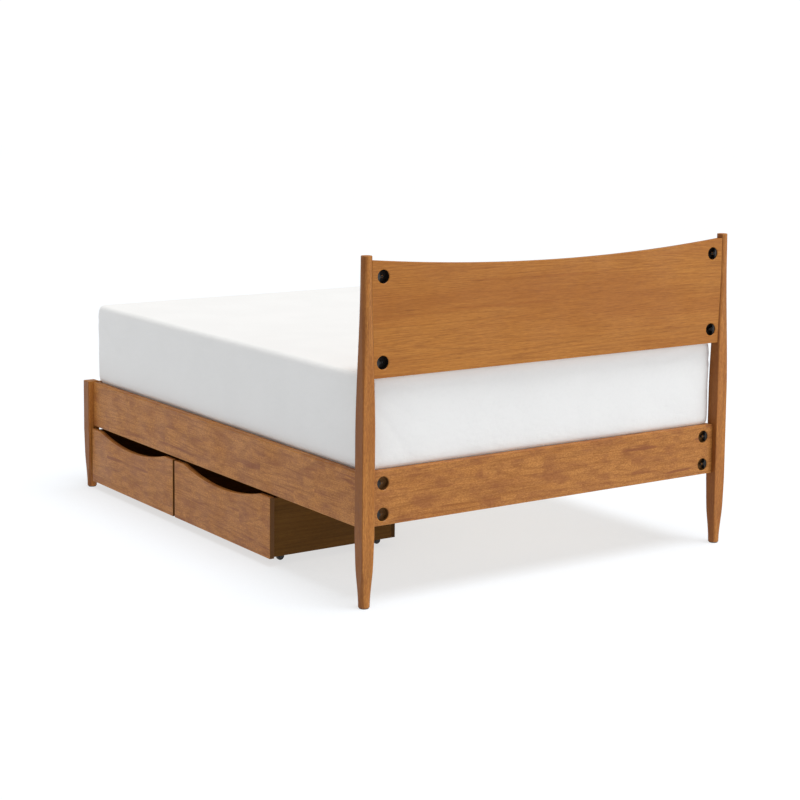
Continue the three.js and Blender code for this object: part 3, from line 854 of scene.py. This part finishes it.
PANEL_DIP = 38.1 * MM


def post_cutter(x, y, low, high, gap):
    """The post's own shape grown by a gap, to fit the panel's ends to the round part of the post."""
    sections = [(z, post_section(z, -gap)) for z in np.linspace(low - 5 * MM, high + 5 * MM, 25)]
    return loft("scribe", sections, (x, y))


def add_panel():
    low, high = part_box("headboard_panel")
    post_low, post_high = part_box("head_post_right")
    post = (post_low + post_high) / 2
    outline = [(-high.x, low.z), (high.x, low.z)] + list(reversed(sunk_arc(high.x, PANEL_DIP, high.z, 64)))
    panel = ease(board("shaped_headboard_panel", outline, "Y", (low.y, high.y)), 1.6 * MM)
    bore(panel, [post_cutter(side * post.x, post.y, low.z, high.z, 0.35 * MM) for side in HANDS.values()])
    bore(panel, pocket_cutters(*PANEL_POCKETS, high.y))
    fit_out(smooth(panel), "root", "panel_veneer", panel_wood, "headboard_panel")
    darken_pockets(panel, panel_pocket_shade, *PANEL_POCKETS, high.y)


def add_head_rail():
    low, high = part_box("head_rail")
    top_round = 5 * MM
    arc = [math.pi / 2 * step / 5 for step in range(6)]
    right = [(high.y - top_round + top_round * math.cos(a), high.z - top_round + top_round * math.sin(a))
             for a in arc]
    left = [(low.y + high.y - y, z) for y, z in reversed(right)]
    outline = [(low.y, low.z), (high.y, low.z)] + right + left
    rail = ease(board("shaped_head_rail", outline, "X", (low.x, high.x)), 1.2 * MM)
    bore(rail, pocket_cutters(*RAIL_POCKETS, high.y))
    fit_out(smooth(rail), "root", "stained_wood", rail_wood_x, "head_rail")
    darken_pockets(rail, bored_rail, *RAIL_POCKETS, high.y)


add_panel()
add_head_rail()


# %% [markdown]
# ## Pieces whose shape the frame already has
# The side rails, the brackets and other plain boards are right as they come from the frame. Each keeps its
# mesh, and modifiers join its split corners, round them and keep its faces flat.

# %% Eased frame parts
def dress(node, material, width):
    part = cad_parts[node]
    part.data.materials.clear()
    part.data.materials.append(material)
    weld = part.modifiers.new("join corners", "WELD")
    weld.merge_threshold = 0.00002
    bevel = part.modifiers.new("eased edges", "BEVEL")
    bevel.width = width
    bevel.segments = 3
    bevel.limit_method = "ANGLE"
    bevel.angle_limit = math.radians(40)
    weigh = part.modifiers.new("flat faces", "WEIGHTED_NORMAL")
    weigh.keep_sharp = True


for hand in HANDS:
    dress(f"side_rail_{hand}", rail_wood_y, 1.2 * MM)
    dress(f"slat_ledger_{hand}", pine_y, 1.0 * MM)
    for end in ("head", "foot"):
        dress(f"{end}_bracket_{hand}", steel, 0.6 * MM)
dress("foot_rail", rail_wood_x, 1.2 * MM)
dress("centre_beam", pine_y, 1.5 * MM)
dress("centre_leg", pine_z, 1.0 * MM)
for end in ("head", "foot"):
    dress(f"beam_cradle_{end}", steel, 0.6 * MM)

# %% [markdown]
# ## Cross bolts
# A cross bolt runs from the pocket through the end of the board into the post. In the pocket one sees a
# half-moon washer that fills the round side of the pocket, a hexagon nut against its flat, and a little of
# the thread. Screw threads are a row of turned ridges here, because a true helix can't be told apart.

# %% Bolts
BOLT_RADIUS, BOLT_LENGTH, BOLT_TAIL = 4 * MM, 50 * MM, 3 * MM
THREAD_PITCH, THREAD_DEPTH = 1.25 * MM, 0.55 * MM
WASHER_FLAT, WASHER_HALF_WIDTH = 13 * MM, 6.5 * MM
NUT_RADIUS, NUT_LENGTH = 7.5 * MM, 6.5 * MM


def threaded_rod(name, start, end):
    profile = [(0, start), (BOLT_RADIUS - THREAD_DEPTH, start)]
    place = start + 0.6 * MM
    while place + THREAD_PITCH < end:
        profile += [(BOLT_RADIUS - THREAD_DEPTH, place), (BOLT_RADIUS, place + 0.45 * THREAD_PITCH),
                    (BOLT_RADIUS, place + 0.6 * THREAD_PITCH)]
        place += THREAD_PITCH
    profile += [(BOLT_RADIUS - THREAD_DEPTH, end), (0, end)]
    return turned(name, profile, "X", (0, 0, 0), sides=20)


def hexagon(radius):
    return [(radius * math.cos(math.radians(60 * k)), radius * math.sin(math.radians(60 * k)))
            for k in range(6)]


def add_bolt(node):
    low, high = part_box(node)
    side = 1 if low.x > 0 else -1
    pocket_x = PANEL_POCKETS[0] if node.startswith("panel") else RAIL_POCKETS[0]
    washer_radius = POCKET_RADIUS - 0.6 * MM
    reach = math.acos(WASHER_FLAT / washer_radius)
    rim = [(washer_radius * math.cos(a), washer_radius * math.sin(a)) for a in np.linspace(-reach, reach, 25)]
    washer = ease(board("washer", rim, "Y", (-WASHER_HALF_WIDTH, WASHER_HALF_WIDTH)), 0.7 * MM)
    nut_face = WASHER_FLAT + 0.4 * MM
    nut = ease(board("nut", hexagon(NUT_RADIUS), "X", (nut_face - NUT_LENGTH, nut_face)), 0.8 * MM, angle=35)
    rod = threaded_rod("rod", -BOLT_TAIL, BOLT_LENGTH - BOLT_TAIL)
    bolt = merge(f"cross_bolt_{node}", [washer, nut, rod])
    turn = Matrix.Rotation(0 if side > 0 else math.pi, 4, "Z")
    middle = (low + high) / 2
    bolt.data.transform(Matrix.Translation((side * pocket_x, middle.y, middle.z)) @ turn)
    fit_out(smooth(bolt, 30), "root", "black_steel", steel, node)


for node in [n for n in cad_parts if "_bolt_" in n]:
    add_bolt(node)
print("bolts", sum("_bolt_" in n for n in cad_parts))

# %% [markdown]
# ## Slats
# Fourteen pine slats come as two rolls, each tied by two webbing straps that are stapled under the slats.
# They carry the mattress, so each slat is its own board with eased edges, and the straps run beneath them.

# %% Slats and straps
SLAT_COUNT, SLAT_WIDTH, SLAT_SPAN = 14, 70 * MM, 1.940
SLAT_THICKNESS = 17.7 * MM
STRAP_X, STRAP_WIDTH, STRAP_SAG = 700 * MM, 25 * MM, 0.5 * MM


def add_slats():
    low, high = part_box("slat_roll_foot")
    pitch = SLAT_SPAN / (SLAT_COUNT - 1)
    for number in range(SLAT_COUNT):
        roll = "foot" if number < SLAT_COUNT / 2 else "head"
        y = -SLAT_SPAN / 2 + number * pitch
        outline = rounded_rectangle(SLAT_WIDTH / 2, SLAT_THICKNESS / 2, 3 * MM, steps=4)
        section = [(y + u, high.z - SLAT_THICKNESS / 2 + v) for u, v in outline]
        slat = ease(board(f"slat_{number + 1:02d}", section, "X", (low.x, high.x)), 0.8 * MM)
        fit_out(smooth(slat), "root", "plain_pine", pine_x, f"slat_roll_{roll}")


def add_straps():
    """Each strap is a thin band that dips slightly between the slats."""
    for roll in ("foot", "head"):
        low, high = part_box(f"slat_roll_{roll}")
        slat_bottom = high.z - SLAT_THICKNESS
        for hand, side in HANDS.items():
            count = 90
            points, faces = [], []
            for k in range(count + 1):
                y = low.y + 20 * MM + (high.y - low.y - 40 * MM) * k / count
                turn = math.pi * (y - low.y - SLAT_WIDTH / 2) * (SLAT_COUNT - 1) / SLAT_SPAN
                sag = STRAP_SAG * abs(math.sin(turn))
                for edge in (-1, 1):
                    for z in (slat_bottom - 0.2 * MM - sag, slat_bottom - 1.1 * MM - sag):
                        points.append((side * STRAP_X + edge * STRAP_WIDTH / 2, y, z))
            for k in range(count):
                a = 4 * k
                faces += [(a, a + 2, a + 6, a + 4), (a + 1, a + 5, a + 7, a + 3),
                          (a, a + 4, a + 5, a + 1), (a + 2, a + 3, a + 7, a + 6)]
            faces += [(0, 1, 3, 2), (4 * count, 4 * count + 2, 4 * count + 3, 4 * count + 1)]
            strap = new_piece(f"strap_{roll}_{hand}", points, faces)
            fit_out(smooth(strap), "root", "plain_pine", webbing)


add_slats()
add_straps()

# %% [markdown]
# ## Screws
# Pan-head screws hold the brackets, the ledgers and the drawers' backs. A head is a turned dome
# with a recess for the driver, and it stands on the surface that it clamps.

# %% Screws
def add_screws(name, places, direction, body, material, slot, radius=4.2 * MM):
    """Heads at the given places, facing one way along an axis, such as '+X'."""
    sign, axis = (1 if direction[0] == "+" else -1), direction[1]
    heads = []
    rise = 0.55 * radius
    dome = [(0, -0.2 * MM), (radius, -0.2 * MM), (radius, 0.35 * rise), (0.86 * radius, 0.72 * rise),
            (0.62 * radius, 0.93 * rise), (0.38 * radius, rise), (0.26 * radius, 0.55 * rise), (0, 0.35 * rise)]
    for k, place in enumerate(places):
        heads.append(turned(f"head{k}", [(r, sign * d) for r, d in dome], axis, place, sides=20))
    screws = merge(name, heads)
    return fit_out(smooth(screws, 50), body, slot, material)


for hand, side in HANDS.items():
    for end in ("head", "foot"):
        low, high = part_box(f"{end}_bracket_{hand}")
        inner = low.x if side > 0 else high.x
        rail_side = (low.x, high.x)[side > 0]
        leg_face = rail_side - side * 3.1 * MM
        heights = (low.z + 18 * MM, high.z - 18 * MM)
        far_y = (low.y + 16 * MM, high.y - 16 * MM)[end == "foot"]
        add_screws(f"bracket_screws_rail_{end}_{hand}", [(leg_face, far_y, z) for z in heights],
                   "-X" if side > 0 else "+X", "root", steel, "black_steel")
        face_y = (high.y - 3.1 * MM, low.y + 3.1 * MM)[end == "foot"]
        add_screws(f"bracket_screws_end_{end}_{hand}", [(inner + side * 16 * MM, face_y, z) for z in heights],
                   "-Y" if end == "head" else "+Y", "root", steel, "black_steel")
    low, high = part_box(f"slat_ledger_{hand}")
    face = (low.x, high.x)[side < 0]
    spread = [low.y + 120 * MM + (high.y - low.y - 240 * MM) * k / 6 for k in range(7)]
    add_screws(f"ledger_screws_{hand}", [(face, y, (low.z + high.z) / 2) for y in spread],
               "-X" if side > 0 else "+X", "root", steel, "black_steel")

# %% [markdown]
# ## Drawers
# Each drawer is a solid front with a scooped top edge for the hand, screwed to a plain box on four casters.
# The scoop is an arc, which shows the front's thickness on its slopes.

# %% Drawer fronts and boxes
SCOOP_HALF, SCOOP_DEPTH = 287 * MM, 38 * MM


def add_drawer(name):
    low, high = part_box(f"{name}_front")
    middle = (low.y + high.y) / 2
    scoop = [(middle + y, z) for y, z in reversed(sunk_arc(SCOOP_HALF, SCOOP_DEPTH, high.z, 56))]
    outline = [(low.y, low.z), (high.y, low.z), (high.y, high.z)] + scoop + [(low.y, high.z)]
    front = ease(board(f"shaped_{name}_front", outline, "X", (low.x, high.x)), 1.5 * MM, angle=12)
    fit_out(smooth(front), name, "stained_wood", rail_wood_y, f"{name}_front")
    for part in ("side_head", "side_foot"):
        dress(f"{name}_{part}", box_wood_x, 1.4 * MM)
    dress(f"{name}_back", box_wood_y, 1.0 * MM)
    dress(f"{name}_floor", box_wood_y, 0.8 * MM)
    back_low, back_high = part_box(f"{name}_back")
    ends = (back_low.y + 8 * MM, back_high.y - 8 * MM)
    heights = [back_low.z + 30 * MM, (back_low.z + back_high.z) / 2, back_high.z - 30 * MM]
    add_screws(f"{name}_back_screws", [(back_low.x, y, z) for y in ends for z in heights],
               "-X", name, steel, "black_steel")
    print(name, "front", [round(v / MM) for v in high - low])


DRAWERS = ("head_drawer", "foot_drawer")
for drawer in DRAWERS:
    add_drawer(drawer)

# %% [markdown]
# ## Casters
# Only slivers of the casters show under the fronts, but they are what makes the drawers roll. Each is a
# plate with two cheeks, a rivet for an axle, and a wheel with a round tread, a dished side and a hub.

# %% Casters
def add_wheel(node, body):
    low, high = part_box(node)
    centre = (low + high) / 2
    radius, half = (high.z - low.z) / 2, (high.y - low.y) / 2
    edge = 2.4 * MM
    tread = [(radius - edge + edge * math.cos(a), half - edge + edge * math.sin(a))
             for a in np.linspace(0, math.pi / 2, 6)]
    dish = [(radius * 0.72, half), (radius * 0.66, half - 1.6 * MM), (radius * 0.42, half - 1.6 * MM),
            (radius * 0.36, half), (2.9 * MM, half)]
    right = tread + dish
    profile = right + [(r, -y) for r, y in reversed(right)]
    wheel = turned(f"turned_{node}", profile, "Y", centre, sides=56, closed=True)
    fit_out(smooth(wheel), body, "black_plastic", caster_plastic, node)


def add_fork(node, body):
    low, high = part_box(node)
    x, y = (low.x + high.x) / 2, (low.y + high.y) / 2
    axle_z = 15.3 * MM
    plate_outline = [(x + u, y + v) for u, v in rounded_rectangle(20 * MM, 17 * MM, 4 * MM, 5)]
    plate = ease(board("plate", plate_outline, "Z", (high.z - 3 * MM, high.z)), 0.5 * MM)
    parts = [plate]
    inside, outside = 7.2 * MM, 10.2 * MM
    top = high.z - 1 * MM
    nose = [(x + 7 * MM * math.cos(a), axle_z + 6.2 * MM * math.sin(a))
            for a in np.linspace(math.pi, 2 * math.pi, 13)]
    cheek = nose + [(x + 16 * MM, top), (x - 16 * MM, top)]
    for side in (-1, 1):
        span = sorted((y + side * inside, y + side * outside))
        parts.append(ease(board("cheek", cheek, "Y", span), 0.6 * MM))
        cap = [(0, side * 11.9 * MM), (1.6 * MM, side * 11.5 * MM), (2.8 * MM, side * 10.4 * MM),
               (2.8 * MM, side * 9.8 * MM), (0, side * 9.8 * MM)]
        parts.append(turned("rivet", cap, "Y", (x, y, axle_z), sides=20))
    axle = [(0, -9.9 * MM), (2.5 * MM, -9.9 * MM), (2.5 * MM, 9.9 * MM), (0, 9.9 * MM)]
    parts.append(turned("axle", axle, "Y", (x, y, axle_z), sides=20))
    fork = merge(f"moulded_{node}", parts)
    fit_out(smooth(fork), body, "black_plastic", caster_plastic, node)


for drawer in DRAWERS:
    for node in [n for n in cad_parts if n.startswith(f"{drawer}_wheel")]:
        add_wheel(node, node)
    for node in [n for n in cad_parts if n.startswith(f"{drawer}_fork")]:
        add_fork(node, drawer)

# %% [markdown]
# ## Mattress and fitted sheet
# The mattress is foam in a ticking cover. A slightly small block is blown up as cloth, and each point's move
# is then cut to a few millimetres. A bed is so large that every point reaches that cut, so the simulation
# only gives each move its direction, and the list of levels below gives the shape. The fitted sheet isn't
# simulated. It is a skin held to the same levels, with waves and folds from a formula, and it is tucked under
# the mattress.

# %% Mattress core
MATTRESS_LEVELS = [
    (427.3, 760, 1011, 20), (440, 768, 1019, 22), (453.3, 772, 1023, 24), (460, 776, 1023.8, 26),
    (464, 780, 1032.5, 32), (480, 782, 1035, 34), (600, 783, 1036, 34), (740, 782, 1035, 28),
    (765, 779.5, 1032, 26), (776, 774, 1026.5, 22), (781.6, 763, 1015, 18)]
CORE_INSET = 5 * MM
VOXEL = 17 * MM
SWELL_LIMIT = 6 * MM
SHEET_BOTTOM = 427.7 * MM


def coordinates(piece):
    flat = np.zeros(len(piece.data.vertices) * 3)
    piece.data.vertices.foreach_get("co", flat)
    return flat.reshape(-1, 3)


def set_coordinates(piece, points):
    piece.data.vertices.foreach_set("co", points.ravel())
    piece.data.update()


def mattress_outline(z, inset=0.0):
    """Half width, half length and corner radius at a height."""
    heights = [level[0] * MM for level in MATTRESS_LEVELS]
    return [np.interp(z, heights, [level[k] * MM for level in MATTRESS_LEVELS]) - inset for k in (1, 2, 3)]


def mattress_blank():
    bottom, top = MATTRESS_LEVELS[0][0] * MM, MATTRESS_LEVELS[-1][0] * MM
    low, high = bottom + 4 * MM, top - CORE_INSET
    sections = []
    for share in (1 - np.cos(np.linspace(0, math.pi, 25))) / 2:
        z = low + (high - low) * share
        rise = min(share, 1 - share) * (high - low)
        tuck = 6 * MM * max(0.0, 1 - rise / (24 * MM)) ** 2
        sections.append((z, rounded_rectangle(*mattress_outline(z, CORE_INSET + tuck), steps=8)))
    blank = loft("mattress_core", sections)
    remesh = blank.modifiers.new("voxels", "REMESH")
    remesh.mode = "VOXEL"
    remesh.voxel_size = VOXEL
    return settle(blank)


def swell(piece, pressure=4.0, frames=20):
    """Blows the piece up as cloth, and cuts each point's move to the limit, which sets the final size."""
    start = coordinates(piece)
    cloth = piece.modifiers.new("swell", "CLOTH")
    cloth.settings.quality = 4
    cloth.settings.use_pressure = True
    cloth.settings.uniform_pressure_force = pressure
    cloth.settings.effector_weights.gravity = 0
    for number in range(1, frames + 1):
        scene.frame_set(number)
    shown = piece.evaluated_get(bpy.context.evaluated_depsgraph_get()).to_mesh()
    moved = np.zeros(len(shown.vertices) * 3)
    shown.vertices.foreach_get("co", moved)
    piece.modifiers.clear()
    scene.frame_set(1)
    move = moved.reshape(-1, 3) - start
    length = np.linalg.norm(move, axis=1, keepdims=True)
    set_coordinates(piece, start + move * np.minimum(1, SWELL_LIMIT / np.maximum(length, 1e-9)))
    held = float((length > SWELL_LIMIT).mean())
    print("free swell up to", round(float(length.max()) / MM, 1), "mm, share of points cut to the limit", held)


core = mattress_blank()
swell(core)
print("mattress core", len(core.data.vertices), "points")


# %% Keeping the mattress in its place
def keep_in(points, inset):
    """Pulls points back inside the mattress's outer shape, less an inset."""
    points = points.copy()
    top = MATTRESS_LEVELS[-1][0] * MM - inset
    points[:, 2] = np.clip(points[:, 2], SHEET_BOTTOM + inset, top)
    for k, (x, y, z) in enumerate(points):
        half_x, half_y, corner = mattress_outline(z, inset)
        dx, dy = abs(x) - (half_x - corner), abs(y) - (half_y - corner)
        if dx > 0 and dy > 0:
            away = math.hypot(dx, dy)
            if away > corner:
                dx, dy = dx * corner / away, dy * corner / away
        dx, dy = min(dx, corner), min(dy, corner)
        points[k, 0] = math.copysign(half_x - corner + dx, x)
        points[k, 1] = math.copysign(half_y - corner + dy, y)
    return points


CORE_CLEARANCE = 2 * MM
set_coordinates(core, keep_in(coordinates(core), CORE_CLEARANCE))


# %% Fitted sheet
TUCK_UNDER = 75 * MM
PULL = 14 * MM  # how far the cloth reaches out before the mattress's shape holds it
LOOSE = 1.0 * MM
FOLD = 0.8 * MM
WIDEST, LONGEST = 0.783, 1.036  # the mattress's largest half width and half length
UNDER_SHEET = 6 * MM
SHEET_CLEARANCE = 0.4 * MM


def wrinkle(points, normals):
    """Soft unevenness: gentle waves all over, and faint folds that fan out from the corners."""
    x, y, z = points.T
    waves = 0.9 * np.sin(5.1 * x + 2.3 * y + 1.7) + 0.8 * np.sin(7.7 * y - 3.1 * x + 9 * z + 0.4)
    waves += 0.6 * np.sin(13.0 * x + 4.0) * np.sin(11.0 * y + 1.3) + 0.5 * np.sin(21.0 * z + 3.1 * x + 2.7 * y)
    height = (waves - 1.2) * LOOSE
    top = MATTRESS_LEVELS[-1][0] * MM
    for number, (side_x, side_y) in enumerate(((1, 1), (-1, 1), (1, -1), (-1, -1))):
        run = np.hypot(np.maximum(WIDEST - side_x * x, 0), np.maximum(LONGEST - side_y * y, 0))
        fall = top - z
        fan = np.arctan2(fall, run + 0.05)
        near = np.exp(-((run / 0.30) ** 2)) * np.clip(fall / 0.06, 0, 1) * np.clip((z - 0.43) / 0.06, 0, 1)
        height += near * FOLD * (np.sin(19.0 * fan + 1.1 * number) + 0.4 * np.sin(37.0 * fan + 2.2 + number))
    return points + normals * height[:, None]


def outward(piece):
    normals = np.zeros(len(piece.data.vertices) * 3)
    piece.data.vertex_normals.foreach_get("vector", normals)
    return normals.reshape(-1, 3)


def make_sheet():
    sheet = core.copy()
    sheet.data = core.data.copy()
    sheet.name = "fitted_sheet"
    scene.collection.objects.link(sheet)
    edge_x, edge_y = (MATTRESS_LEVELS[0][k] * MM - TUCK_UNDER for k in (1, 2))
    work = bmesh.new()
    work.from_mesh(sheet.data)
    under = [f for f in work.faces if f.normal.z < -0.8
             and abs(f.calc_center_median().x) < edge_x
             and abs(f.calc_center_median().y) < edge_y]
    bmesh.ops.delete(work, geom=under, context="FACES")
    work.to_mesh(sheet.data)
    work.free()
    divide = sheet.modifiers.new("finer", "SUBSURF")
    divide.levels = divide.render_levels = 1
    settle(sheet)
    normals = outward(sheet)
    tight = keep_in(coordinates(sheet) + normals * PULL, SHEET_CLEARANCE)
    set_coordinates(sheet, tight)
    set_coordinates(sheet, keep_in(wrinkle(tight, outward(sheet)), SHEET_CLEARANCE))
    return sheet


sheet = make_sheet()
set_coordinates(core, coordinates(core) - outward(core) * UNDER_SHEET)
sheet.data.shade_smooth()
core.data.shade_smooth()
fit_out(core, "mattress", "white_cotton", ticking, "mattress")
fit_out(sheet, "mattress", "white_cotton", cotton)
print("sheet", len(sheet.data.vertices), "points")

# %% Sizes and finish
low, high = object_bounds()
print("visual", [round(v, 3) for v in (*low, *high)])
